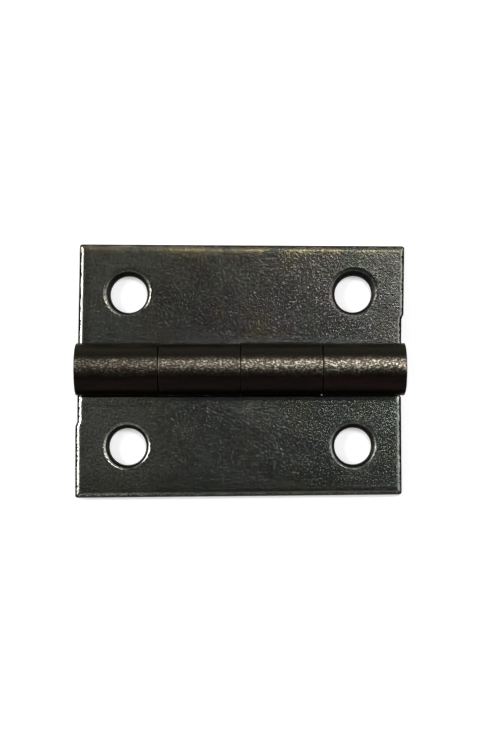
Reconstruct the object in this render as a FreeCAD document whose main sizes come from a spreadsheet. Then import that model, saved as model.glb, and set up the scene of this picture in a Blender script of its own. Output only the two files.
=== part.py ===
"""Small butt hinge of pressed steel, open flat: two equal leaves rolled round one plain pin.

Millimetres, with +Z out of the countersunk front. X runs along the pin, the upper leaf reaches
to +Y and the lower leaf to -Y. Both backs lie on z = 0 and the origin is on that plane, under
the middle of the barrel, so the pin's axis is one barrel radius above the origin.
"""

import FreeCAD, Part
import math
import os
import Sketcher

Vector = FreeCAD.Vector
START, END, CENTRE = 1, 2, 3  # the points of a line or an arc in a sketch
ORIGIN = (-1, 1)  # the sketch's own origin, as a point for a constraint
SAME_PLACE = 1e-4  # points nearer than this are one
SMALLEST_CUT = 1e-4  # cubic millimetres that any cut takes away

SIZES = [
    ("hinge_length", 25.4, "leaves and barrel, along the pin"),
    ("leaf_width", 9.85, "pin axis to a leaf's outer edge"),
    ("sheet_thickness", 0.85, "steel strip of both leaves"),
    ("pin_diameter", 2.24, "plain wire pin"),
    ("running_clearance", 0.03, "pin to knuckle bore, on the radius"),
    ("knuckle_count", 4, "knuckles of both leaves together, an even number"),
    ("knuckle_gap", 0.1, "between the end faces of neighbouring knuckles"),
    ("notch_gap", 0.15, "between a knuckle and the other leaf's edge"),
    ("seam_gap", 0.1, "between a knuckle's rolled-in lip and its own leaf's front"),
    ("screw_hole_diameter", 3.0, "straight part of a screw hole"),
    ("countersink_diameter", 3.8, "screw hole at the leaf's front"),
    ("countersink_angle", 90.0, "whole cone, in degrees"),
    ("hole_end_margin", 3.85, "screw hole centre to the leaf's end"),
    ("hole_edge_margin", 3.85, "screw hole centre to the leaf's outer edge"),
    ("corner_radius", 0.3, "corners of a leaf, seen from the front"),
    ("pin_setback", 0.1, "pin end inside the barrel's end face"),
    ("pin_end_round", 0.25, "rounding of the pin's cropped ends"),
]

# What follows from the driving sizes, in the sheet's own terms.
BARREL_RADIUS = "(Sizes.pin_diameter / 2 + Sizes.running_clearance + Sizes.sheet_thickness)"
KNUCKLE_PITCH = "(Sizes.hinge_length / Sizes.knuckle_count)"
NOTCH_EDGE = f"({BARREL_RADIUS} + Sizes.notch_gap)"


def make_size_sheet(doc):
    """One row a size: what it is, then its value, whose cell carries the size's name."""
    sheet = doc.addObject("Spreadsheet::Sheet", "Sizes")
    for row, (name, value, meaning) in enumerate(SIZES, start=1):
        sheet.set(f"A{row}", meaning)
        sheet.set(f"B{row}", str(value))
        sheet.setAlias(f"B{row}", name)
    doc.recompute()
    return sheet


def number(item, expression):
    """The present value of a sheet expression, as a plain number."""
    return float(item.evalExpression(expression))


def origin_part(body, role):
    """One of the body's own origin planes or axes."""
    return next(part for part in body.Origin.OriginFeatures if part.Role == role)


def new_sketch(body, name, role):
    """An empty sketch on one of the body's origin planes."""
    sketch = body.newObject("Sketcher::SketchObject", f"{body.Label}_{name}")
    sketch.AttachmentSupport = [(origin_part(body, role), "")]
    sketch.MapMode = "FlatFace"
    return sketch


def bind(sketch, name, expression, kind, *where):
    """Add a driving constraint whose value comes from the sheet."""
    value = number(sketch, expression)
    index = sketch.addConstraint(Sketcher.Constraint(kind, *where, value))
    sketch.renameConstraint(index, name)
    sketch.setExpression(f"Constraints.{name}", expression)


def relate(sketch, kind, *where):
    """Add a constraint that has no size."""
    sketch.addConstraint(Sketcher.Constraint(kind, *where))


def draw_strip_section(body):
    """The rolled strip seen along the pin, with y across and z up.

    The back runs straight from under the pin to the outer edge. At its other end the strip
    turns up round the pin's far side, over the top and down to a lip that stands just clear of
    the leaf's own front. The roll's outside touches the back's plane, and the lip lies on a
    line through the pin's axis.
    """
    sketch = new_sketch(body, "strip_section", "YZ_Plane")
    reach = number(sketch, "Sizes.leaf_width")
    thick = number(sketch, "Sizes.sheet_thickness")
    gap = number(sketch, "Sizes.seam_gap")
    outer_radius = number(sketch, BARREL_RADIUS)
    axis = Vector(0, outer_radius, 0)
    lip_angle = -math.asin((outer_radius - thick - gap) / outer_radius)
    under_pin = 1.5 * math.pi

    def line(start, end):
        return sketch.addGeometry(Part.LineSegment(start, end))

    def roll(radius):
        circle = Part.Circle(axis, Vector(0, 0, 1), radius)
        return sketch.addGeometry(Part.ArcOfCircle(circle, lip_angle, under_pin))

    outward = Vector(math.cos(lip_angle), math.sin(lip_angle), 0)
    back = line(Vector(0, 0, 0), Vector(reach, 0, 0))
    edge = line(Vector(reach, 0, 0), Vector(reach, thick, 0))
    front = line(Vector(reach, thick, 0), Vector(0, thick, 0))
    inside = roll(outer_radius - thick)
    outside = roll(outer_radius)
    lip = line(axis + outward * (outer_radius - thick), axis + outward * outer_radius)

    relate(sketch, "Coincident", back, START, *ORIGIN)
    relate(sketch, "Coincident", back, END, edge, START)
    relate(sketch, "Coincident", edge, END, front, START)
    relate(sketch, "Coincident", inside, START, lip, START)
    relate(sketch, "Coincident", outside, START, lip, END)
    relate(sketch, "Coincident", inside, CENTRE, outside, CENTRE)
    relate(sketch, "Tangent", outside, END, back, START)
    relate(sketch, "Tangent", inside, END, front, END)
    relate(sketch, "PointOnObject", outside, CENTRE, lip)
    relate(sketch, "Horizontal", back)
    relate(sketch, "Vertical", edge)
    relate(sketch, "Horizontal", front)
    bind(sketch, "reach", "Sizes.leaf_width", "DistanceX", back, START, back, END)
    bind(sketch, "thickness", "Sizes.sheet_thickness", "DistanceY", edge, START, edge, END)
    bind(sketch, "barrel_radius", BARREL_RADIUS, "Radius", outside)
    bind(sketch, "seam", "Sizes.seam_gap", "DistanceY", front, START, outside, START)
    return sketch


def draw_notch(body):
    """The first cut-out for the other leaf's knuckles, seen from the front.

    It takes one knuckle's pitch and one end gap, centred on that knuckle, and runs from past
    the barrel's far side to the leaf's edge beside the barrel.
    """
    sketch = new_sketch(body, "notch", "XY_Plane")
    middle = f"({KNUCKLE_PITCH} / 2 - Sizes.hinge_length / 2)"
    half_width = f"(({KNUCKLE_PITCH} + Sizes.knuckle_gap) / 2)"
    left = number(sketch, f"{middle} - {half_width}")
    right = number(sketch, f"{middle} + {half_width}")
    top = number(sketch, NOTCH_EDGE)
    corners = [
        Vector(left, -top, 0),
        Vector(right, -top, 0),
        Vector(right, top, 0),
        Vector(left, top, 0),
    ]
    sides = []
    for corner, next_corner in zip(corners, corners[1:] + corners[:1]):
        sides.append(sketch.addGeometry(Part.LineSegment(corner, next_corner)))
    bottom, right_side, top_side = sides[:3]
    for side, next_side in zip(sides, sides[1:] + sides[:1]):
        relate(sketch, "Coincident", side, END, next_side, START)
    for side, direction in zip(sides, ("Horizontal", "Vertical") * 2):
        relate(sketch, direction, side)
    bind(sketch, "left", f"{half_width} - {middle}", "DistanceX", bottom, START, *ORIGIN)
    bind(sketch, "width", f"2 * {half_width}", "DistanceX", bottom, START, bottom, END)
    bind(sketch, "far_side", NOTCH_EDGE, "DistanceY", right_side, START, *ORIGIN)
    bind(sketch, "leaf_edge", NOTCH_EDGE, "DistanceY", *ORIGIN, top_side, START)
    return sketch


def draw_screw_holes(body):
    """Two circles on the leaf's front, the same distance from its ends and in from its edge."""
    sketch = new_sketch(body, "screw_hole_places", "XY_Plane")
    sketch.setExpression("AttachmentOffset.Base.z", "Sizes.sheet_thickness")
    along = "(Sizes.hinge_length / 2 - Sizes.hole_end_margin)"
    across = "(Sizes.leaf_width - Sizes.hole_edge_margin)"
    radius = number(sketch, "Sizes.screw_hole_diameter") / 2
    holes = []
    for side in (-1, 1):
        centre = Vector(side * number(sketch, along), number(sketch, across), 0)
        holes.append(sketch.addGeometry(Part.Circle(centre, Vector(0, 0, 1), radius)))
    left, right = holes
    bind(sketch, "left_hole", along, "DistanceX", left, CENTRE, *ORIGIN)
    bind(sketch, "right_hole", along, "DistanceX", *ORIGIN, right, CENTRE)
    bind(sketch, "in_from_edge", across, "DistanceY", *ORIGIN, left, CENTRE)
    bind(sketch, "hole_size", "Sizes.screw_hole_diameter / 2", "Radius", left)
    relate(sketch, "Horizontal", left, CENTRE, right, CENTRE)
    relate(sketch, "Equal", left, right)
    return sketch


def upright_edges(shape, places):
    """Names of the edges along Z that stand at one of the given (x, y) places."""
    names = []
    for index, edge in enumerate(shape.Edges, start=1):
        box = edge.BoundBox
        upright = box.XLength < SAME_PLACE and box.YLength < SAME_PLACE
        if upright and any(math.dist((box.XMin, box.YMin), place) < SAME_PLACE for place in places):
            names.append(f"Edge{index}")
    return names


def require_cut(feature, volume_before):
    """Stop if a cutting feature took nothing away."""
    if volume_before - feature.Shape.Volume < SMALLEST_CUT:
        raise RuntimeError(f"{feature.Label} cut nothing")


def make_leaf(doc, label, turn):
    """One pressed leaf that reaches to +Y, turned about Z by the given angle.

    The strip is rolled over its whole length, the other leaf's knuckles are notched out of the
    roll, the screw holes are punched and countersunk, and the corners are rounded.
    """
    body = doc.addObject("PartDesign::Body", label)
    strip = body.newObject("PartDesign::Pad", f"{label}_strip")
    strip.Profile = draw_strip_section(body)
    strip.SideType = "Symmetric"
    strip.setExpression("Length", "Sizes.hinge_length")
    body.Tip = strip
    doc.recompute()

    notch = body.newObject("PartDesign::Pocket", f"{label}_notch")
    notch.Profile = draw_notch(body)
    notch.SideType = "Symmetric"
    notch.Type = "ThroughAll"
    body.Tip = notch
    doc.recompute()
    require_cut(notch, strip.Shape.Volume)

    notches = body.newObject("PartDesign::LinearPattern", f"{label}_notches")
    notches.Originals = [notch]
    notches.Direction = (origin_part(body, "X_Axis"), [""])
    notches.Mode = "Extent"
    notches.setExpression("Length", f"{KNUCKLE_PITCH} * (Sizes.knuckle_count - 2)")
    notches.setExpression("Occurrences", "Sizes.knuckle_count / 2")
    body.Tip = notches
    doc.recompute()
    require_cut(notches, notch.Shape.Volume)

    holes = body.newObject("PartDesign::Hole", f"{label}_screw_holes")
    holes.Profile = draw_screw_holes(body)
    doc.recompute()
    holes.DepthType = "ThroughAll"
    holes.HoleCutType = "Countersink"
    holes.HoleCutCustomValues = True
    holes.setExpression("Diameter", "Sizes.screw_hole_diameter")
    holes.setExpression("HoleCutDiameter", "Sizes.countersink_diameter")
    holes.setExpression("HoleCutCountersinkAngle", "Sizes.countersink_angle")
    body.Tip = holes
    doc.recompute()
    require_cut(holes, notches.Shape.Volume)

    half_length = number(body, "Sizes.hinge_length / 2")
    outer_edge = number(body, "Sizes.leaf_width")
    notch_edge = number(body, NOTCH_EDGE)
    corners = [(-half_length, outer_edge), (half_length, outer_edge), (-half_length, notch_edge)]
    rounding = body.newObject("PartDesign::Fillet", f"{label}_corners")
    rounding.Base = (holes, upright_edges(holes.Shape, corners))
    rounding.setExpression("Radius", "Sizes.corner_radius")
    body.Tip = rounding
    body.Placement = FreeCAD.Placement(Vector(), FreeCAD.Rotation(Vector(0, 0, 1), turn))
    doc.recompute()
    require_cut(rounding, holes.Shape.Volume)
    return body


def make_pin(doc, label):
    """A length of plain wire, cropped just short of the barrel, with both ends rounded over."""
    body = doc.addObject("PartDesign::Body", label)
    sketch = new_sketch(body, "section", "YZ_Plane")
    radius = number(sketch, "Sizes.pin_diameter / 2")
    circle = sketch.addGeometry(Part.Circle(Vector(), Vector(0, 0, 1), radius))
    relate(sketch, "Coincident", circle, CENTRE, *ORIGIN)
    bind(sketch, "pin_size", "Sizes.pin_diameter / 2", "Radius", circle)

    wire = body.newObject("PartDesign::Pad", f"{label}_wire")
    wire.Profile = sketch
    wire.SideType = "Symmetric"
    wire.setExpression("Length", "Sizes.hinge_length - 2 * Sizes.pin_setback")
    body.Tip = wire
    doc.recompute()

    rims = [
        f"Edge{index}"
        for index, edge in enumerate(wire.Shape.Edges, start=1)
        if edge.BoundBox.XLength < SAME_PLACE
    ]
    ends = body.newObject("PartDesign::Fillet", f"{label}_ends")
    ends.Base = (wire, rims)
    ends.setExpression("Radius", "Sizes.pin_end_round")
    body.Tip = ends
    body.setExpression("Placement.Base.z", BARREL_RADIUS)
    doc.recompute()
    require_cut(ends, wire.Shape.Volume)
    return body


def check_document(doc, bodies):
    """Stop if a feature failed, a sketch is loose or a body isn't one valid solid."""
    for item in doc.Objects:
        if {"Invalid", "Error"} & set(item.State):
            raise RuntimeError(f"{item.Label} failed: {item.State}")
        if item.TypeId == "Sketcher::SketchObject" and not item.FullyConstrained:
            raise RuntimeError(f"{item.Label} is not fully constrained")
    for body in bodies:
        shape = body.Shape
        if shape.isNull() or not shape.isValid() or len(shape.Solids) != 1:
            raise RuntimeError(f"{body.Label} is not one valid solid")


def main():
    doc = FreeCAD.newDocument("butt_hinge")
    make_size_sheet(doc)
    bodies = [
        make_leaf(doc, "upper_leaf", turn=0),
        make_leaf(doc, "lower_leaf", turn=180),
        make_pin(doc, "hinge_pin"),
    ]
    check_document(doc, bodies)
    os.makedirs("parts", exist_ok=True)
    for body in bodies:
        body.Shape.exportStep(f"parts/{body.Label}.step")
        box = body.Shape.BoundBox
        print(
            f"{body.Label}: {body.Shape.Volume:.3f} mm3,"
            f" x {box.XMin:.3f} to {box.XMax:.3f},"
            f" y {box.YMin:.3f} to {box.YMax:.3f},"
            f" z {box.ZMin:.3f} to {box.ZMax:.3f}"
        )


main()
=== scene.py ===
import math

import bmesh
import bpy
import numpy as np
from mathutils import Matrix, Vector


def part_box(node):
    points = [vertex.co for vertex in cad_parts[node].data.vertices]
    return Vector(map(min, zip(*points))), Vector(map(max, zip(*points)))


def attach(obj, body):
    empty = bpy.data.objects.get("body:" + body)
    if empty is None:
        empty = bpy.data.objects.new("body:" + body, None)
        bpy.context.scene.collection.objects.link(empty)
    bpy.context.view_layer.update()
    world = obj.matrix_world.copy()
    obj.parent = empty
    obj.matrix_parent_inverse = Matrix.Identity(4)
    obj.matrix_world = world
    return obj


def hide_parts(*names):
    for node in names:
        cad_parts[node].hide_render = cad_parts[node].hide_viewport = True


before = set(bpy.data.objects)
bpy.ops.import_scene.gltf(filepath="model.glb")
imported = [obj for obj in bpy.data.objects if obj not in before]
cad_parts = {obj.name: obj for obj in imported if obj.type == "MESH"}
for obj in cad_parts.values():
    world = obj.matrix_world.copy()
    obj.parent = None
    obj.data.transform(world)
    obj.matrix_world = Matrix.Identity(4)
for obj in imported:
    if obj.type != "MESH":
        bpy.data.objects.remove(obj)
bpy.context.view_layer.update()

# ---------------------------------------------------------------------------------------------
# The two leaves. Each is one pressing of thin steel strip: cropped, notched, punched and
# countersunk flat, then rolled over at one side into two knuckles. The lower leaf is the same
# pressing as the upper, turned half round. Both are dipped in a dark antique plating.

# Lengths are in millimetres in the upper leaf's own frame, with the pin along X.
MM = 0.001
_, leaf_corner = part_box("upper_leaf")
half_length, reach, barrel_height = np.array(leaf_corner) / MM
barrel_radius = barrel_height / 2
sheet = 0.85
knuckle_pitch = half_length / 2
knuckle_gap = 0.024
notch_gap = 0.03
notch_edge = barrel_radius + notch_gap
lip_gap = 0.1
lip_turn = 1.5 * math.pi + math.asin((barrel_radius - sheet - lip_gap) / barrel_radius)
neutral_radius = barrel_radius - sheet / 2
lip_end = -neutral_radius * lip_turn

# A screw hole: the wall's taper is the radius lost per unit of depth, the countersink's drop is
# its cone's and its steep throat's together, and the block is half the side of the square of
# plate that is remade round the hole.
hole_margin = 3.85
hole_along = half_length - hole_margin
hole_across = reach - hole_margin
hole_radius = 1.5
hole_taper = 0.15
hole_block = 2.9
rim_drop = 0.005
cone_drop = 0.12
throat_drop = 0.22
wall_top = sheet - 0.4
wall_foot = 0.06

# Sheared edges: the width and depth by which the outer edge and the other cuts are rolled over.
corner_radius = 0.2
outer_roll = (0.5, 0.5)
cut_roll = (0.065, 0.06)
edge_rows = 9

# The grid of the blank, the slack in comparing its lines, the distance past which a point counts
# as away from every edge, and the distance given to a hole rim's rubbed side, partly a painted highlight.
pitch_along = 0.3
pitch_across = 0.14
same_line = 1e-3
slack = 1e-6
distance_limit = 2.0
worn_rim = 0.22


def smooth_step(value, low, high):
    """0 below low, 1 above high, and the cubic 3t^2 - 2t^3 between them."""
    part = np.clip((value - low) / (high - low), 0, 1)
    return part * part * (3 - 2 * part)


def grid_lines(edges, joins, pitch, roll):
    """Places of grid lines between sheared edges and plain joins.

    Beside an edge the lines stand at roll (1 - sin a) for even steps of the angle a, so that
    they follow a quarter circle; elsewhere they are about one pitch apart.
    """
    beside = roll * (1 - np.sin(np.linspace(math.pi / 2, 0, edge_rows)))
    stops = sorted([*edges, *joins])
    lines = []
    for low, high in zip(stops[:-1], stops[1:]):
        start = low + (roll if low in edges else 0)
        end = high - (roll if high in edges else 0)
        if end <= start:
            lines.append(np.linspace(low, high, edge_rows))
            continue
        if low in edges:
            lines.append(low + beside)
        if high in edges:
            lines.append(high - beside)
        lines.append(np.linspace(start, end, max(2, round((end - start) / pitch) + 1)))
    lines = np.sort(np.concatenate(lines))
    return lines[np.concatenate([[True], np.diff(lines) > same_line])]


def rolled_edge(distance, width, depth):
    """Drop of a face at a distance from its sheared edge: a quarter ellipse, width by depth."""
    part = 1 - np.clip(distance / width, 0, 1)
    return depth * (1 - np.sqrt(1 - part * part))


def ripple(across, along, seed, length, waves=7):
    """A smooth uneven field of about unit height: the mean of plane sine waves.

    Directions, phases and lengths come from the seed; lengths lie round the given one.
    """
    draw = np.random.default_rng(seed)
    total = np.zeros(np.broadcast(across, along).shape)
    for _ in range(waves):
        heading, phase = draw.uniform(0, 2 * math.pi, 2)
        turns = 2 * math.pi / (length * draw.uniform(0.6, 1.7))
        total += np.sin(turns * (across * math.cos(heading) + along * math.sin(heading)) + phase)
    return total / math.sqrt(waves)


def bend(along, strip, depth):
    """Take a point of the flat blank to its place on the rolled leaf.

    `strip` is the distance from the line under the pin: positive on the flat, where it is y,
    and negative round the roll, where it is an arc of the neutral radius. `depth` is the height
    above the strip's back, so on the roll the point lies barrel_radius - depth from the axis.
    """
    turn = np.clip(-strip / neutral_radius, 0, None)
    arm = barrel_radius - depth
    y = np.where(strip > 0, strip, -arm * np.sin(turn))
    z = np.where(strip > 0, depth, barrel_radius - arm * np.cos(turn))
    return np.stack([along, y, z], axis=-1)


# The upper leaf's knuckles, second and fourth from the left, as spans along the pin.
knuckles = [
    (-knuckle_pitch + knuckle_gap / 2, -knuckle_gap / 2),
    (knuckle_pitch + knuckle_gap / 2, half_length),
]


def outer_distance(along, strip):
    """Distance from a point of the blank to its nearest end or to its outer edge."""
    return np.clip(np.minimum(half_length - np.abs(along), reach - strip), 0, distance_limit)


def inner_distance(along, strip):
    """Distance from a point of the blank to the nearest cut of the knuckles.

    The least of the distances to the notches (from the plate), to the knuckles' sides (on a
    knuckle) and to the lip.
    """
    nearest = strip - lip_end
    on_plate = strip >= notch_edge
    notch_start = -half_length
    for low, high in knuckles:
        outside = np.maximum(notch_start - along, along - low)
        to_notch = np.hypot(np.clip(outside, 0, None), strip - notch_edge)
        nearest = np.where(on_plate, np.minimum(nearest, to_notch), nearest)
        on_knuckle = (along >= low) & (along <= high)
        beside = np.where(on_knuckle, np.minimum(along - low, high - along), np.inf)
        nearest = np.where(on_plate, nearest, np.minimum(nearest, beside))
        notch_start = high
    return np.clip(nearest, 0, distance_limit)


def round_corners(along, strip):
    """Pull the blank's free corners in to arcs.

    Inside a corner square, with a and b running from 0 to 1 towards the corner, each square
    ring of equal max(a, b) becomes a quarter circle of that radius.
    """
    never_zero = 1e-9
    corner_end = 1.001
    for side, edge, outward in ((-1, reach, 1), (1, reach, 1), (-1, notch_edge, -1)):
        a = (side * along - (half_length - corner_radius)) / corner_radius
        b = (outward * (strip - edge) + corner_radius) / corner_radius
        inside = (a > 0) & (a < corner_end) & (b > 0) & (b < corner_end)
        if outward < 0:
            inside &= strip > notch_edge - slack
        diagonal = np.hypot(np.maximum(a, never_zero), np.maximum(b, never_zero))
        scale = np.where(inside, np.maximum(a, b) / diagonal, 1)
        along = np.where(inside, side * (half_length - corner_radius + corner_radius * a * scale), along)
        strip = np.where(inside, edge + outward * corner_radius * (b * scale - 1), strip)
    return along, strip


def leaf_surface(along, strip, front):
    """A face of the blank, bent to shape, with its distance to the edges and its place on the roll.

    That distance is to the outer edge on the plate, and to the nearest edge on the roll. The face
    drops by whichever is the deeper, the outer edge's roll or the cuts' smaller one, and round
    the knuckles the outer edge's roll shrinks to the cuts' as well.
    """
    rolled = smooth_step(-strip, 0, barrel_radius)
    on_plate = smooth_step(strip, 0.6 * notch_edge, notch_edge)
    outer = outer_distance(along, strip)
    inner = inner_distance(along, strip)
    rounded_along, rounded_strip = round_corners(along, strip)
    if front:
        width = cut_roll[0] + (outer_roll[0] - cut_roll[0]) * on_plate
        height = cut_roll[1] + (outer_roll[1] - cut_roll[1]) * on_plate
        drop = np.maximum(rolled_edge(outer, width, height), rolled_edge(inner, *cut_roll))
        points = bend(rounded_along, rounded_strip, sheet - drop)
    else:
        points = bend(rounded_along, rounded_strip, rolled_edge(np.minimum(outer, inner), *cut_roll))
    return points, np.where(strip > 0, outer, np.minimum(outer, inner)), rolled


def quads(rows, columns, kept=None):
    """Corner numbers of a grid's cells, numbered row by row."""
    corner = np.arange(rows * columns).reshape(rows, columns)
    cells = np.stack([corner[:-1, :-1], corner[1:, :-1], corner[1:, 1:], corner[:-1, 1:]], axis=-1)
    return cells[kept] if kept is not None else cells.reshape(-1, 4)


class Shell:
    """Grids of points gathered into one closed skin, with the values its finish reads."""

    def __init__(self):
        self.points = []
        self.faces = []
        self.values = []
        self.count = 0

    def add(self, points, faces, edge, cut, roll):
        """Add one grid's points, its faces numbered from its own first point, and its values."""
        size = len(points)
        self.points.append(points)
        self.faces.append(faces + self.count)
        columns = [np.broadcast_to(value, size) for value in (edge, cut, roll)]
        self.values.append(np.stack(columns, axis=-1))
        self.count += size

    def finish(self, name, shape=None):
        """Make the mesh: merge the grids' shared rims, turn the faces outwards, shade smooth."""
        points = np.concatenate(self.points)
        if shape is not None:
            points = shape(points)
        faces = np.concatenate(self.faces)
        values = np.concatenate(self.values)
        mesh = bpy.data.meshes.new(name)
        mesh.from_pydata((points * MM).tolist(), [], faces.tolist())
        for column, title in enumerate(("edge_distance", "cut_face", "roll")):
            layer = mesh.attributes.new(title, "FLOAT", "POINT")
            layer.data.foreach_set("value", values[:, column].astype(np.float32))
        work = bmesh.new()
        work.from_mesh(mesh)
        bmesh.ops.remove_doubles(work, verts=work.verts, dist=0.0015 * MM)
        loose = [vert for vert in work.verts if not vert.link_faces]
        bmesh.ops.delete(work, geom=loose, context="VERTS")
        bmesh.ops.recalc_face_normals(work, faces=work.faces)
        work.to_mesh(mesh)
        work.free()
        mesh.shade_smooth()
        piece = bpy.data.objects.new(name, mesh)
        bpy.context.scene.collection.objects.link(piece)
        return piece


def hole_rings(rim_radius):
    """Profile of a punched and countersunk hole, front to back, as (radius, height, cut).

    The countersink is a shallow cone with a quarter ellipse added to its drop, so its throat is
    steep. Below it come the punched wall, which narrows evenly towards the back, and the small
    roll there. `cut` is 1 on bare sheared metal and 0 on the faces; it rises to 1 across the
    countersink's inner, steeper part too, where its dark colour is painted shade.
    """
    width = rim_radius - hole_radius
    lip = [(rim_radius + 0.05, sheet, 0.0), (rim_radius + 0.025, sheet - 0.0015, 0.0)]
    sink = []
    for turn in np.linspace(0, math.pi / 2, 15):
        radius = rim_radius - width * math.sin(turn)
        drop = cone_drop * math.sin(turn) + throat_drop * (1 - math.cos(turn)) + rim_drop
        sink.append((radius, sheet - drop, float(smooth_step(turn, 0.3, 0.6))))
    heights = np.linspace(wall_top, wall_foot, 5)
    wall = [(hole_radius - hole_taper * (heights[0] - height), height, 1.0) for height in heights]
    punched = wall[-1][0]
    back = [(punched + 0.015, 0.02, 1.0), (punched + 0.05, 0.0, 0.0)]
    return lip + sink + wall + back


def add_hole(shell, along_lines, strip_lines, side, rim_radius, rim_shift):
    """The block of plate round a screw hole, as one surface through the hole.

    Its rings start on the block's square outline on the front, close in to the rim, go down
    the hole and open out again to the same square on the back. Ring radii and heights come
    from the profile, and the rim's circles are shifted off the hole's centre, fading to none
    at the wall. The rim counts as worn on the side away from its shift, and that side's light
    band is partly a painted highlight.
    """
    centre = np.array([side * hole_along, hole_across])
    xs = along_lines[np.abs(along_lines - centre[0]) < hole_block + slack]
    ys = strip_lines[np.abs(strip_lines - centre[1]) < hole_block + slack]
    outline = np.concatenate([
        np.stack([xs[:-1], np.full(len(xs) - 1, ys[0])], axis=-1),
        np.stack([np.full(len(ys) - 1, xs[-1]), ys[:-1]], axis=-1),
        np.stack([xs[:0:-1], np.full(len(xs) - 1, ys[-1])], axis=-1),
        np.stack([np.full(len(ys) - 1, xs[0]), ys[:0:-1]], axis=-1),
        [[xs[0], ys[0]]],
    ])
    offset = outline - centre
    outward = offset / np.linalg.norm(offset, axis=1, keepdims=True)
    profile = hole_rings(rim_radius)
    worn_lit_inset = 0.04
    worn_lit_reach = 0.075
    rings = []
    edge = []
    cut = []

    def plate_rings(radius, shift, height, steps):
        """Flat rings between the square outline, at step 0, and the circle, at step 1."""
        for s in steps:
            ring = outline * (1 - s) + (centre + shift + outward * radius) * s
            rings.append(np.column_stack([ring, np.full(len(ring), height)]))
            edge.append(np.full(len(ring), distance_limit))
            cut.append(np.zeros(len(ring)))

    steps = 1 - (1 - np.linspace(0, 1, 11)) ** 1.6
    plate_rings(profile[0][0], rim_shift, sheet, steps[:-1])
    for radius, height, cut_here in profile:
        part = np.clip((radius - hole_radius) / (rim_radius - hole_radius), 0, 1)
        if height < sheet / 4:
            part = 0
        ring = centre + rim_shift * part + outward * radius
        rings.append(np.column_stack([ring, np.full(len(ring), height)]))
        # The rubbed side of the rim, which also carries a painted highlight.
        worn_lit_side = (abs(radius - rim_radius + worn_lit_inset) < worn_lit_reach) & (outward @ rim_shift < 0)
        edge.append(np.where(worn_lit_side, worn_rim, distance_limit))
        cut.append(np.full(len(ring), cut_here))
    plate_rings(profile[-1][0], np.zeros(2), 0.0, steps[-2::-1])
    points = np.concatenate(rings)
    faces = quads(len(rings), len(outline))
    shell.add(points, faces, np.concatenate(edge), np.concatenate(cut), 0.0)


def add_walls(shell, along_lines, strip_lines, filled):
    """The sheared edge all round the blank, from the front's outline down to the back's.

    A cell side is on the outline where one of its two cells is filled and the other isn't.
    Straight lines join the two faces there, in four rows, and count as further from the edge
    the nearer they are to the back.
    """
    distance_across_wall = 0.4
    padded = np.pad(filled, 1)
    ends = np.argwhere(padded[1:, 1:-1] != padded[:-1, 1:-1])
    sides = np.argwhere(padded[1:-1, 1:] != padded[1:-1, :-1])
    end_pairs = np.stack([ends, ends + (0, 1)], axis=1)
    side_pairs = np.stack([sides, sides + (1, 0)], axis=1)
    pairs = np.concatenate([end_pairs, side_pairs])
    along = along_lines[pairs[:, :, 0]]
    strip = strip_lines[pairs[:, :, 1]]
    front, front_edge_distance, roll = leaf_surface(along, strip, front=True)
    back, _, _ = leaf_surface(along, strip, front=False)
    rows = np.linspace(0, 1, 5)[:, None, None, None]
    points = front * (1 - rows) + back * rows
    edge = front_edge_distance + distance_across_wall * rows[..., 0]
    size = len(pairs)
    number = np.arange(points.shape[0] * size * 2).reshape(points.shape[0], size, 2)
    upper = number[:-1]
    lower = number[1:]
    cells = np.stack([upper[..., 0], lower[..., 0], lower[..., 1], upper[..., 1]], axis=-1)
    shell.add(
        points.reshape(-1, 3),
        cells.reshape(-1, 4),
        edge.reshape(-1),
        1.0,
        np.broadcast_to(roll, points.shape[:-1]).reshape(-1),
    )


# The pressing's faults. A span is the pair of places between which one of them fades in.
plate_span = (1.0, 2.0)
above_plate_span = (sheet + 0.05, sheet + 0.35)
shear_mark = 4.2
shear_slope = 0.25
shear_step = 0.16
shear_base = 0.5
shear_end_span = (half_length - 1.6, half_length - 0.2)
outer_edge_span = (reach - 1.8, reach - 0.2)
shifted_end_span = (half_length - 1.9, half_length - 0.2)
plate_ripple = 0.004
skin_span = (1.6, 1.9)
past_skin_span = (2.02, 2.1)
long_swell = 0.009
short_swell = 0.006
swell_limit = 0.02
middle_knuckles_low = 0.014
bulge_height = 0.14
bulge_turn = -0.3
bulge_spread = 0.24
end_splay = 0.07
splay_span = (half_length - 1.2, half_length)


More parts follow.
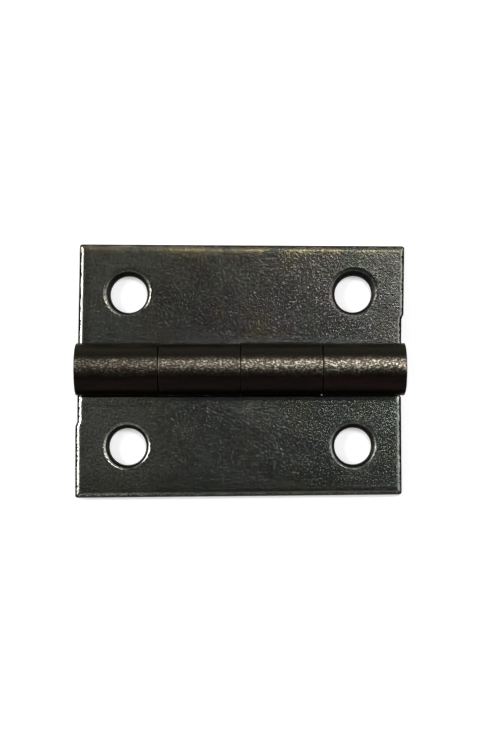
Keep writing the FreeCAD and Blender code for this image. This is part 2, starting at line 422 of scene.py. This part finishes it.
def uneven_leaf(points, seed, away, end_play, shift, lean, edge_place, edge_slope):
    """The pressing's small faults, each a fraction of a millimetre.

    The plate's ends are shifted and it leans along the pin, the notching die has left a step in
    one end, its outer edge isn't quite parallel to the pin, and its faces ripple. The barrel's
    skin swells unevenly, lies a little lower on the middle two knuckles, and bulges, by a bell
    curve of the angle round the pin, just below the pin's axis on the side `away` from the leaf.
    The barrel's ends splay outwards.
    """
    x, y, z = points.T.copy()
    on_plate = smooth_step(-away * y, *plate_span) * (1 - smooth_step(z, *above_plate_span))
    at_end = smooth_step(-away * x, *shear_end_span)
    step = smooth_step(np.abs(y), shear_mark - shear_slope, shear_mark + shear_slope) + shear_base
    at_edge = smooth_step(np.abs(y), *outer_edge_span)
    near_end = smooth_step(np.abs(x), *shifted_end_span)
    past_notch = np.clip(np.abs(y) - notch_edge, 0, None)
    leaning = (shift * near_end + lean * past_notch) * on_plate
    moved_x = x + end_play + leaning - away * shear_step * step * at_end * on_plate
    moved_y = y + (edge_slope * x + edge_place) * at_edge
    rippled = plate_ripple * ripple(x, y, seed, 3.5) + plate_ripple * ripple(x, y, seed + 1, 9)
    moved_z = z + on_plate * rippled
    out_z = z - barrel_radius
    arm = np.hypot(y, out_z)
    turn = np.arctan2(out_z, away * y)
    on_skin = smooth_step(arm, *skin_span) * (1 - smooth_step(arm, *past_skin_span)) * (1 - on_plate)
    knuckle = np.floor((x + half_length) / knuckle_pitch)
    swell = long_swell * ripple(x, 2.0 * turn, seed + 2, 2.6)
    swell = swell + short_swell * ripple(x, 2.0 * turn, seed + 3, 0.9)
    swell = swell - middle_knuckles_low * np.where((knuckle == 1) | (knuckle == 2), 1.0, 0.0)
    bulge = bulge_height * np.exp(-(((turn - bulge_turn) / bulge_spread) ** 2))
    swell = np.minimum(swell, swell_limit) + bulge
    moved_x = moved_x + np.sign(x) * end_splay * smooth_step(np.abs(x), *splay_span) * (1 - on_plate)
    moved_y = moved_y + swell * on_skin * np.cos(turn) * away
    moved_z = moved_z + swell * on_skin * np.sin(turn)
    return np.stack([moved_x, moved_y, moved_z], axis=-1)


def make_leaf(name, turned, seed, faults, rims):
    """One leaf: front and back grids of the blank, its hole blocks and its sheared edge."""
    knuckle_sides = [value for span in knuckles for value in span if abs(value) < half_length - slack]
    block_sides = [s * hole_along + t * hole_block for s in (-1, 1) for t in (-1, 1)]
    along_edges = [-half_length, *knuckle_sides, half_length]
    along_lines = grid_lines(along_edges, block_sides, pitch_along, outer_roll[0])
    strip_lines = grid_lines(
        [lip_end, notch_edge, reach],
        [0.0, hole_across - hole_block, hole_across + hole_block],
        pitch_across,
        outer_roll[0],
    )
    middle_along = (along_lines[1:] + along_lines[:-1])[:, None] / 2
    middle_strip = (strip_lines[1:] + strip_lines[:-1])[None, :] / 2
    on_knuckle = np.zeros(middle_along.shape, bool)
    for low, high in knuckles:
        on_knuckle |= (middle_along > low) & (middle_along < high)
    filled = (middle_strip > notch_edge) | on_knuckle
    in_block = (np.abs(np.abs(middle_along) - hole_along) < hole_block) & (
        np.abs(middle_strip - hole_across) < hole_block
    )
    along, strip = np.meshgrid(along_lines, strip_lines, indexing="ij")
    faces = quads(len(along_lines), len(strip_lines), filled & ~in_block)
    shell = Shell()
    for front in (True, False):
        points, distance, rolled = leaf_surface(along, strip, front)
        shell.add(points.reshape(-1, 3), faces, distance.reshape(-1), 0.0, rolled.reshape(-1))
    for side, (rim_radius, rim_shift) in zip((-1, 1), rims):
        add_hole(shell, along_lines, strip_lines, side, rim_radius, np.array(rim_shift))
    add_walls(shell, along_lines, strip_lines, filled)

    def place(points):
        """Turn the lower leaf half round the vertical, then give the leaf its faults."""
        placed = points * (-1, -1, 1) if turned else points
        return uneven_leaf(placed, seed, 1 if turned else -1, *faults)

    return shell.finish(name, place)


# Each leaf's own faults: end play, the shift of the plate's ends and its lean along the pin, and
# the place and slope of its outer edge.
upper_faults = (0.016, -0.085, 0.018, 0.03, -0.0075)
lower_faults = (0.0, -0.03, 0.0, -0.06, 0.007)
upper_leaf = make_leaf(
    "upper_leaf_steel", False, 11, upper_faults, [(1.89, (-0.07, 0.13)), (1.91, (0.0, 0.14))]
)
lower_leaf = make_leaf(
    "lower_leaf_steel", True, 37, lower_faults, [(1.88, (0.0, -0.10)), (1.86, (0.05, -0.08))]
)
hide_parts("upper_leaf")
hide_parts("lower_leaf")
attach(upper_leaf, "swinging_leaf")
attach(lower_leaf, "fixed_leaf")


class Value:
    """A node's output. Sums, differences and products of it add the Math nodes they need."""

    def __init__(self, finish, socket):
        self.finish = finish
        self.socket = socket

    def maths(self, operation, first, second=0.0):
        """One Math node, of two values or numbers."""
        return self.finish.node("ShaderNodeMath", {"operation": operation}, {0: first, 1: second})

    def __add__(self, other):
        return self.maths("ADD", self, other)

    __radd__ = __add__

    def __sub__(self, other):
        return self.maths("SUBTRACT", self, other)

    def __rsub__(self, other):
        return self.maths("SUBTRACT", other, self)

    def __mul__(self, other):
        return self.maths("MULTIPLY", self, other)

    __rmul__ = __mul__

    def __getitem__(self, name):
        return Value(self.finish, self.socket.node.outputs[name])


class Finish:
    """One material and the nodes that make it."""

    def __init__(self, name):
        self.material = bpy.data.materials.new(name)
        self.material.use_nodes = True
        self.tree = self.material.node_tree
        self.tree.nodes.clear()

    def node(self, kind, settings=None, inputs=None):
        """Add a node: its settings first (a ramp's stops among them), then its sockets."""
        made = self.tree.nodes.new(kind)
        for name, value in (settings or {}).items():
            if name == "stops":
                ramp = made.color_ramp
                while len(ramp.elements) < len(value):
                    ramp.elements.new(1.0)
                for element, (position, colour) in zip(ramp.elements, value):
                    element.position = position
                    element.color = (*colour, 1)
            else:
                setattr(made, name, value)
        for name, value in (inputs or {}).items():
            if isinstance(value, Value):
                self.tree.links.new(value.socket, made.inputs[name])
            else:
                made.inputs[name].default_value = value
        return Value(self, made.outputs[0])

    def noise(self, place, size, detail=2.0, roughness=0.5):
        """Even noise from 0 to 1 whose spots are about `size` millimetres across."""
        settings = {"noise_dimensions": "3D"}
        inputs = {"Vector": place, "Scale": 1 / (size * MM), "Detail": detail, "Roughness": roughness}
        return self.node("ShaderNodeTexNoise", settings, inputs)

    def between(self, value, low, high):
        """0 at low and beyond it, 1 at high and beyond it, smooth between; low may be the larger."""
        settings = {"interpolation_type": "SMOOTHSTEP"}
        inputs = {"Value": value, "From Min": low, "From Max": high}
        return self.node("ShaderNodeMapRange", settings, inputs)

    def mix(self, factor, first, second, blend="MIX"):
        """Two colours mixed by a factor."""
        settings = {"data_type": "RGBA", "blend_type": blend, "clamp_factor": True}
        made = self.node("ShaderNodeMix", settings, {0: factor})
        for index, colour in ((6, first), (7, second)):
            if isinstance(colour, Value):
                self.tree.links.new(colour.socket, made.socket.node.inputs[index])
            else:
                made.socket.node.inputs[index].default_value = (*colour, 1)
        return Value(self, made.socket.node.outputs[2])

    def grey(self, value):
        """A grey colour of a value's strength."""
        return self.node("ShaderNodeCombineColor", None, {0: value, 1: value, 2: value})

    def attribute(self, name):
        """A value stored on the mesh's own points."""
        return self.node("ShaderNodeAttribute", {"attribute_name": name})["Fac"]

    def surface(self, constants, inputs):
        """The shader at the end of the tree."""
        shader = self.node("ShaderNodeBsdfPrincipled", None, {**constants, **inputs})
        output = self.tree.nodes.new("ShaderNodeOutputMaterial")
        self.tree.links.new(shader.socket, output.inputs["Surface"])
        return self.material


def antique_plate():
    """Dark antique plating over rolled strip.

    Fine matt grain with bright flecks, which fade out to the left and are in part painted glints,
    and faint green, olive and violet stains; gold towards the upper leaf's outer edge, brightened
    there as a painted highlight; brown on the roll with a lighter crest and glints, partly rubbed
    metal and partly painted highlight, and painted shade and light on the barrel's flanks;
    painted light beside the barrel on the lower leaf and painted shade along its notch; dark on
    sheared edges, where the countersinks' darkness is painted shade; a dark line along the rolled
    edges, partly painted shade, and bright along the line where they have rubbed, partly painted
    highlight. Lengths in the masks are millimetres.
    """
    finish = Finish("antique plated steel")
    place = finish.node("ShaderNodeTexCoord")["Object"]
    axes = finish.node("ShaderNodeSeparateXYZ", None, {"Vector": place})
    along = axes["X"] * (1 / MM)
    across = axes["Y"] * (1 / MM)
    far = across.maths("ABSOLUTE", across)
    edge = finish.attribute("edge_distance")
    cut = finish.attribute("cut_face")
    roll = finish.between(finish.attribute("roll"), 0.3, 1.0)

    along_roll = finish.node("ShaderNodeMapping", None, {"Vector": place, "Scale": (0.6, 1, 1)})
    drawn_out = finish.node("ShaderNodeMapping", None, {"Vector": place, "Scale": (0.12, 1, 1)})
    grain = finish.noise(place, 0.16, 3.0, 0.65)
    fine = finish.noise(place, 0.085, 2.0, 0.6)
    cloud = finish.noise(place, 1.1, 4.0, 0.6)
    stain = finish.noise(place, 3.6, 3.0, 0.55)
    mottle = finish.noise(place, 0.17, 1.0, 0.5)
    # Bright flecks of the plating, faded out towards the left end and gathered towards the right, where the
    # light falls: in part painted glints.
    fleck_and_glint = finish.between(finish.noise(place, 0.21, 1.0, 0.5), 0.55, 0.75)
    fleck_and_glint = fleck_and_glint * (0.1 + finish.between(cloud + 0.02 * along, 0.40, 0.66))
    fleck_and_glint = fleck_and_glint * finish.between(along, -11.0, -1.0)
    streak = finish.noise(along_roll, 0.12, 3.0, 0.65)

    plate = finish.node(
        "ShaderNodeValToRGB",
        {
            "stops": [
                (0.30, (0.066, 0.083, 0.080)),
                (0.42, (0.076, 0.082, 0.072)),
                (0.50, (0.078, 0.076, 0.078)),
                (0.60, (0.084, 0.080, 0.068)),
                (0.72, (0.088, 0.085, 0.056)),
            ]
        },
        {"Fac": stain},
    )
    warm = finish.between(across, 3.0, 10.0)
    plate = finish.mix(warm * 0.5, plate, (0.078, 0.075, 0.054))
    plate = finish.mix(0.5 * finish.between(along, -2.0, -9.0), plate, (0.076, 0.078, 0.063))
    # Lighter on the lower leaf and towards the ends, the left end most, and darker towards the lower leaf's
    # outer edge.
    lightness_by_place = 1 + 0.30 * finish.between(across, -2.0, -3.0) + 1.4 * finish.between(along, -3.0, -10.5)
    lightness_by_place = lightness_by_place + 0.12 * finish.between(along, 6.0, 11.0)
    lightness_by_place = lightness_by_place * (1 - 0.3 * finish.between(across, -7.0, -9.6))
    shade = (finish.between(mottle, 0.25, 0.75) * 0.85 + 0.5 * cloud + 0.28) * lightness_by_place
    plate = finish.mix(1.0, plate, finish.grey(shade), "MULTIPLY")
    plate = finish.mix(fleck_and_glint * 0.7, plate, (0.20, 0.195, 0.172))
    # Gold along the upper leaf's outer edge, the edge that faces the light: the plating's tint, made
    # brighter there as a painted highlight.
    outer = finish.between(across, 8.6, 9.7) * finish.between(stain + 0.5 * cloud, 0.55, 0.95)
    plate = finish.mix(outer * (0.4 + 0.8 * grain), plate, (0.22, 0.19, 0.105))
    lower = finish.between(across, -1.9, -2.2)
    lower_tint = finish.mix(finish.between(along, -8.0, 4.0), (0.142, 0.140, 0.122), (0.100, 0.120, 0.106))
    lower_tint = finish.mix(1.0, lower_tint, finish.grey(shade), "MULTIPLY")
    plate = finish.mix(lower * 0.45, plate, lower_tint)
    # Painted light: the lower leaf's plate next to the barrel, which lies in the barrel's shadow, is made
    # up to 3.2 times as light.
    painted_light_beside_barrel = 1 + 2.2 * finish.between(far, 2.75, 2.15) * lower
    plate = finish.mix(1.0, plate, finish.grey(painted_light_beside_barrel), "MULTIPLY")
    # Painted shade: the lower leaf's plate along its notch edge, under the barrel, is made near black.
    crevice_shade = finish.between(far, 2.2, 2.08) * finish.between(across, 0.0, -1.0)
    plate = finish.mix(crevice_shade, plate, (0.006, 0.0055, 0.0045))

    # The crest: a lighter band along the barrel, set towards +Y and narrowed to where the highlight falls,
    # with bright glinting streaks that grow brighter towards the right: partly rubbed metal, partly painted
    # highlight.
    crown = across + 0.5 * cloud
    crest_highlight = finish.between(crown, -0.5, 0.42) * finish.between(crown, 1.3, 0.7)
    glint = finish.between(streak, 0.48, 0.67)
    # The barrel's skin: lengthwise smoky and ruddy streaks of colour, the smoky ones on the -Y flank. Its
    # base is darkest on the -Y flank, lighter towards +Y and lighter still on the +Y flank: painted shade
    # and light.
    band = finish.noise(drawn_out, 0.45, 2.0, 0.5)
    smoky = finish.mix(finish.between(band, 0.38, 0.62), (0.0055, 0.0062, 0.0050), (0.0100, 0.0060, 0.0058))
    ruddy = finish.mix(finish.between(band, 0.38, 0.62), (0.0095, 0.0086, 0.0062), (0.0155, 0.0092, 0.0078))
    smoky = finish.mix(finish.between(across, -1.7, -1.2), smoky, ruddy)
    flank = finish.mix(finish.between(across, -0.6, 0.9), smoky, (0.0215, 0.0190, 0.0140))
    flank = finish.mix(finish.between(across, 1.6, 1.95), flank, (0.050, 0.048, 0.037))
    brown = finish.mix(1.0, flank, finish.grey(0.6 + 0.8 * streak), "MULTIPLY")
    brown = finish.mix(crest_highlight, brown, (0.062, 0.052, 0.040))
    sparkle = finish.mix(finish.between(along, -8.0, 10.0), (0.42, 0.374, 0.290), (0.58, 0.527, 0.420))
    brown = finish.mix(crest_highlight * crest_highlight * glint, brown, sparkle)
    brown = finish.mix(1 - finish.between(edge, 0.03, 0.08), brown, (0.012, 0.010, 0.008))
    plate = finish.mix(roll, plate, brown)

    # The rolled edges' fronts: a dark line along the outermost part, near black along the ends and less
    # dark along the outer edges, partly the edge's own darker metal and partly painted shade; and a lighter
    # band just inside it, weaker on the lower leaf, partly rubbed plating and partly painted highlight.
    frayed = edge + 0.5 * (grain - 0.5) + 0.25 * (cloud - 0.5)
    rim = 1 - finish.between(frayed, 0.185, 0.215)
    rubbed_highlight = finish.between(frayed, 0.19, 0.22) * (1 - finish.between(frayed, 0.25, 0.30))
    rubbed_highlight = rubbed_highlight * (1 - 0.7 * finish.between(across, 0.0, -1.0)) * (1 - roll)
    plate = finish.mix(rubbed_highlight * 0.5, plate, (0.26, 0.25, 0.23))
    rim_dark = finish.mix(finish.between(far, 9.1, 9.5), (0.0040, 0.0034, 0.0028), (0.030, 0.027, 0.020))
    plate = finish.mix(rim * (1 - roll), plate, rim_dark)
    # Dark bare metal on the sheared faces; on the countersinks' inner part the same dark colour is painted
    # shade.
    sheared_and_sink_shade = finish.mix(finish.between(fine, 0.4, 0.6), (0.008, 0.007, 0.006), (0.022, 0.019, 0.016))
    plate = finish.mix(cut, plate, sheared_and_sink_shade)

    rough = 0.20 + 0.07 * fine + 0.10 * roll + 0.03 * cloud + 0.2 * cut
    smoother = 1 - 0.40 * finish.between(along, -3.0, -9.0)
    height = (grain + fine * 0.3 + cloud * 0.6 + fleck_and_glint * 0.15) * smoother
    bump = {"Strength": 1.0, "Distance": 0.026 * MM, "Height": height}
    normal = finish.node("ShaderNodeBump", None, bump)
    return finish.surface(
        {"Metallic": 1.0, "Specular Tint": (0.45, 0.45, 0.45, 1)},
        {"Base Color": plate, "Roughness": rough, "Normal": normal},
    )


leaf_finish = antique_plate()
for leaf in (upper_leaf, lower_leaf):
    leaf.data.materials.append(leaf_finish)

# ---------------------------------------------------------------------------------------------
# The pin. A length of drawn steel wire through all four knuckles, gripped by the lower leaf's
# two, cropped a little short of the barrel and left unplated, with its cut ends rounded over.

_, pin_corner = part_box("hinge_pin")
pin_half_length = pin_corner[0] / MM
pin_radius = 1.12
pin_end_round = 0.25
pin_end_bulge = 0.04
pin_end_short = 0.05
burr_height = 0.012
burr_sharpness = 8


def make_pin(name):
    """The wire as a turned surface: its profile of radius and place carried round the axis.

    Straight along the side, a quarter circle at each rim, and an end face that bulges by a
    shallow parabola with a slight burr line left by the cropping blade.
    """
    turn = np.linspace(0, 2 * math.pi, 73)
    quarter = np.linspace(0, math.pi / 2, 9)
    face = pin_radius - pin_end_round
    inner = np.linspace(1, 0, 9)[1:]
    radius = np.concatenate([face + pin_end_round * np.cos(quarter), face * inner])
    bulge = pin_end_bulge * (1 - inner**2)
    place = np.concatenate([
        pin_half_length - pin_end_short - pin_end_round * (1 - np.sin(quarter)),
        pin_half_length - pin_end_short + bulge,
    ])
    side = np.linspace(-place[0], place[0], 41)[1:-1]
    radius = np.concatenate([radius[::-1], np.full(len(side), pin_radius), radius])
    place = np.concatenate([-place[::-1], side, place])
    points = np.stack(
        [
            np.broadcast_to(place[:, None], (len(place), len(turn))),
            radius[:, None] * np.cos(turn)[None, :],
            barrel_radius + radius[:, None] * np.sin(turn)[None, :],
        ],
        axis=-1,
    )
    on_end = np.sign(place)[:, None] * (radius < face)[:, None]
    points[..., 0] += burr_height * on_end * np.tanh(points[..., 1] * burr_sharpness)
    shell = Shell()
    ends = np.broadcast_to((radius < face + 0.01)[:, None], points.shape[:-1]).astype(float)
    shell.add(points.reshape(-1, 3), quads(len(place), len(turn)), 1.0, ends.reshape(-1), 0.0)
    return shell.finish(name)


hinge_pin = make_pin("hinge_pin_wire")
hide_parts("hinge_pin")
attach(hinge_pin, "fixed_leaf")


def drawn_wire():
    """Bare drawn wire: grey steel with fine lengthwise draw lines, duller on its cropped ends."""
    finish = Finish("drawn steel wire")
    place = finish.node("ShaderNodeTexCoord")["Object"]
    cut = finish.attribute("cut_face")
    stretched = finish.node("ShaderNodeMapping", None, {"Vector": place, "Scale": (0.04, 1, 1)})
    lines = finish.noise(stretched, 0.06, 2.0, 0.6)
    speck = finish.noise(place, 0.12, 3.0, 0.6)
    steel = finish.mix(speck, (0.14, 0.133, 0.125), (0.24, 0.232, 0.22))
    cropped = finish.mix(finish.between(speck, 0.35, 0.65), (0.035, 0.031, 0.026), (0.10, 0.092, 0.08))
    steel = finish.mix(cut, steel, cropped)
    rough = 0.3 + 0.15 * lines + 0.15 * cut
    height = lines * (1 - cut) + speck * cut
    bump = {"Strength": 0.4, "Distance": 0.01 * MM, "Height": height}
    normal = finish.node("ShaderNodeBump", None, bump)
    return finish.surface({"Metallic": 1.0}, {"Base Color": steel, "Roughness": rough, "Normal": normal})


hinge_pin.data.materials.append(drawn_wire())

# ---------------------------------------------------------------------------------------------
# The stage: matt white paper just under the hinge, a small soft light above, a window at the
# left, its bounce at the right, a dim wall in front, and a camera close above the barrel.

paper_half_size = 350.0
paper_drop = 0.02
paper_mesh = bpy.data.meshes.new("paper")
corners = [(-1, -1), (1, -1), (1, 1), (-1, 1)]
paper_mesh.from_pydata(
    [(x * paper_half_size * MM, y * paper_half_size * MM, -paper_drop * MM) for x, y in corners],
    [],
    [(0, 1, 2, 3)],
)
paper = bpy.data.objects.new("paper", paper_mesh)
bpy.context.scene.collection.objects.link(paper)
paper_finish = Finish("white paper")
paper_grain = paper_finish.noise(paper_finish.node("ShaderNodeTexCoord")["Object"], 0.5, 3.0, 0.5)
paper_white = paper_finish.mix(paper_grain, (0.86, 0.86, 0.86), (0.9, 0.9, 0.9))
paper_glow = {"Emission Color": (1, 1, 1, 1), "Emission Strength": 0.3}
paper_matt = {"Roughness": 0.9, "Specular IOR Level": 0.1, **paper_glow}
paper_mesh.materials.append(paper_finish.surface(paper_matt, {"Base Color": paper_white}))


def add_light(name, place, width, depth, watts):
    """A soft white light facing the hinge, `width` by `depth` millimetres.

    Its back is the direction from the hinge to the light. Its width lies along the cross product
    of +Y and that direction, and its depth along the cross product of those two.
    """
    data = bpy.data.lights.new(name, "AREA")
    data.shape = "RECTANGLE"
    data.size = width * MM
    data.size_y = depth * MM
    data.energy = watts
    light = bpy.data.objects.new(name, data)
    back = Vector(place).normalized()
    level = Vector((0, 1, 0)).cross(back).normalized()
    facing = Matrix((level, back.cross(level), back)).transposed().to_4x4()
    light.matrix_world = Matrix.Translation(Vector(place) * MM) @ facing
    bpy.context.scene.collection.objects.link(light)


add_light("overhead", (100, 150, 320), 90, 120, 0.54)
add_light("left_window", (-500, 120, 220), 300, 380, 5.0)
add_light("front_wall", (0, -330, 280), 500, 350, 0.12)
add_light("right_bounce", (500, 80, 260), 500, 500, 1.8)

# The room: it looks white, and lights the hinge weakly from above and more from low directions.
# The two heights are the upward parts of a direction between which the one turns to the other.
overhead_height = 0.85
low_height = 0.55
overhead_strength = 0.04
low_strength = 0.5
world = bpy.data.worlds.new("studio")
bpy.context.scene.world = world
world.use_nodes = True
sky = world.node_tree
sky.nodes.clear()
seen = sky.nodes.new("ShaderNodeBackground")
seen.inputs["Color"].default_value = (1, 1, 1, 1)
cast = sky.nodes.new("ShaderNodeBackground")
cast.inputs["Color"].default_value = (1, 1, 1, 1)
heading = sky.nodes.new("ShaderNodeTexCoord")
height_seen = sky.nodes.new("ShaderNodeSeparateXYZ")
walls = sky.nodes.new("ShaderNodeMapRange")
walls.inputs["From Min"].default_value = overhead_height
walls.inputs["From Max"].default_value = low_height
walls.inputs["To Min"].default_value = overhead_strength
walls.inputs["To Max"].default_value = low_strength
sky.links.new(heading.outputs["Generated"], height_seen.inputs["Vector"])
sky.links.new(height_seen.outputs["Z"], walls.inputs["Value"])
sky.links.new(walls.outputs["Result"], cast.inputs["Strength"])
path = sky.nodes.new("ShaderNodeLightPath")
either = sky.nodes.new("ShaderNodeMixShader")
world_output = sky.nodes.new("ShaderNodeOutputWorld")
sky.links.new(path.outputs["Is Camera Ray"], either.inputs["Fac"])
sky.links.new(cast.outputs["Background"], either.inputs[1])
sky.links.new(seen.outputs["Background"], either.inputs[2])
sky.links.new(either.outputs["Shader"], world_output.inputs["Surface"])

camera_data = bpy.data.cameras.new("camera")
camera_data.lens = 74.6
camera_data.clip_start = 10 * MM
camera = bpy.data.objects.new("camera", camera_data)
camera.location = Vector((-0.6, -5.52, 122.68)) * MM
camera.rotation_euler = (math.radians(2.404), math.radians(-0.635), math.radians(-0.171))
bpy.context.scene.collection.objects.link(camera)
bpy.context.scene.camera = camera
bpy.context.scene.view_settings.view_transform = "Standard"
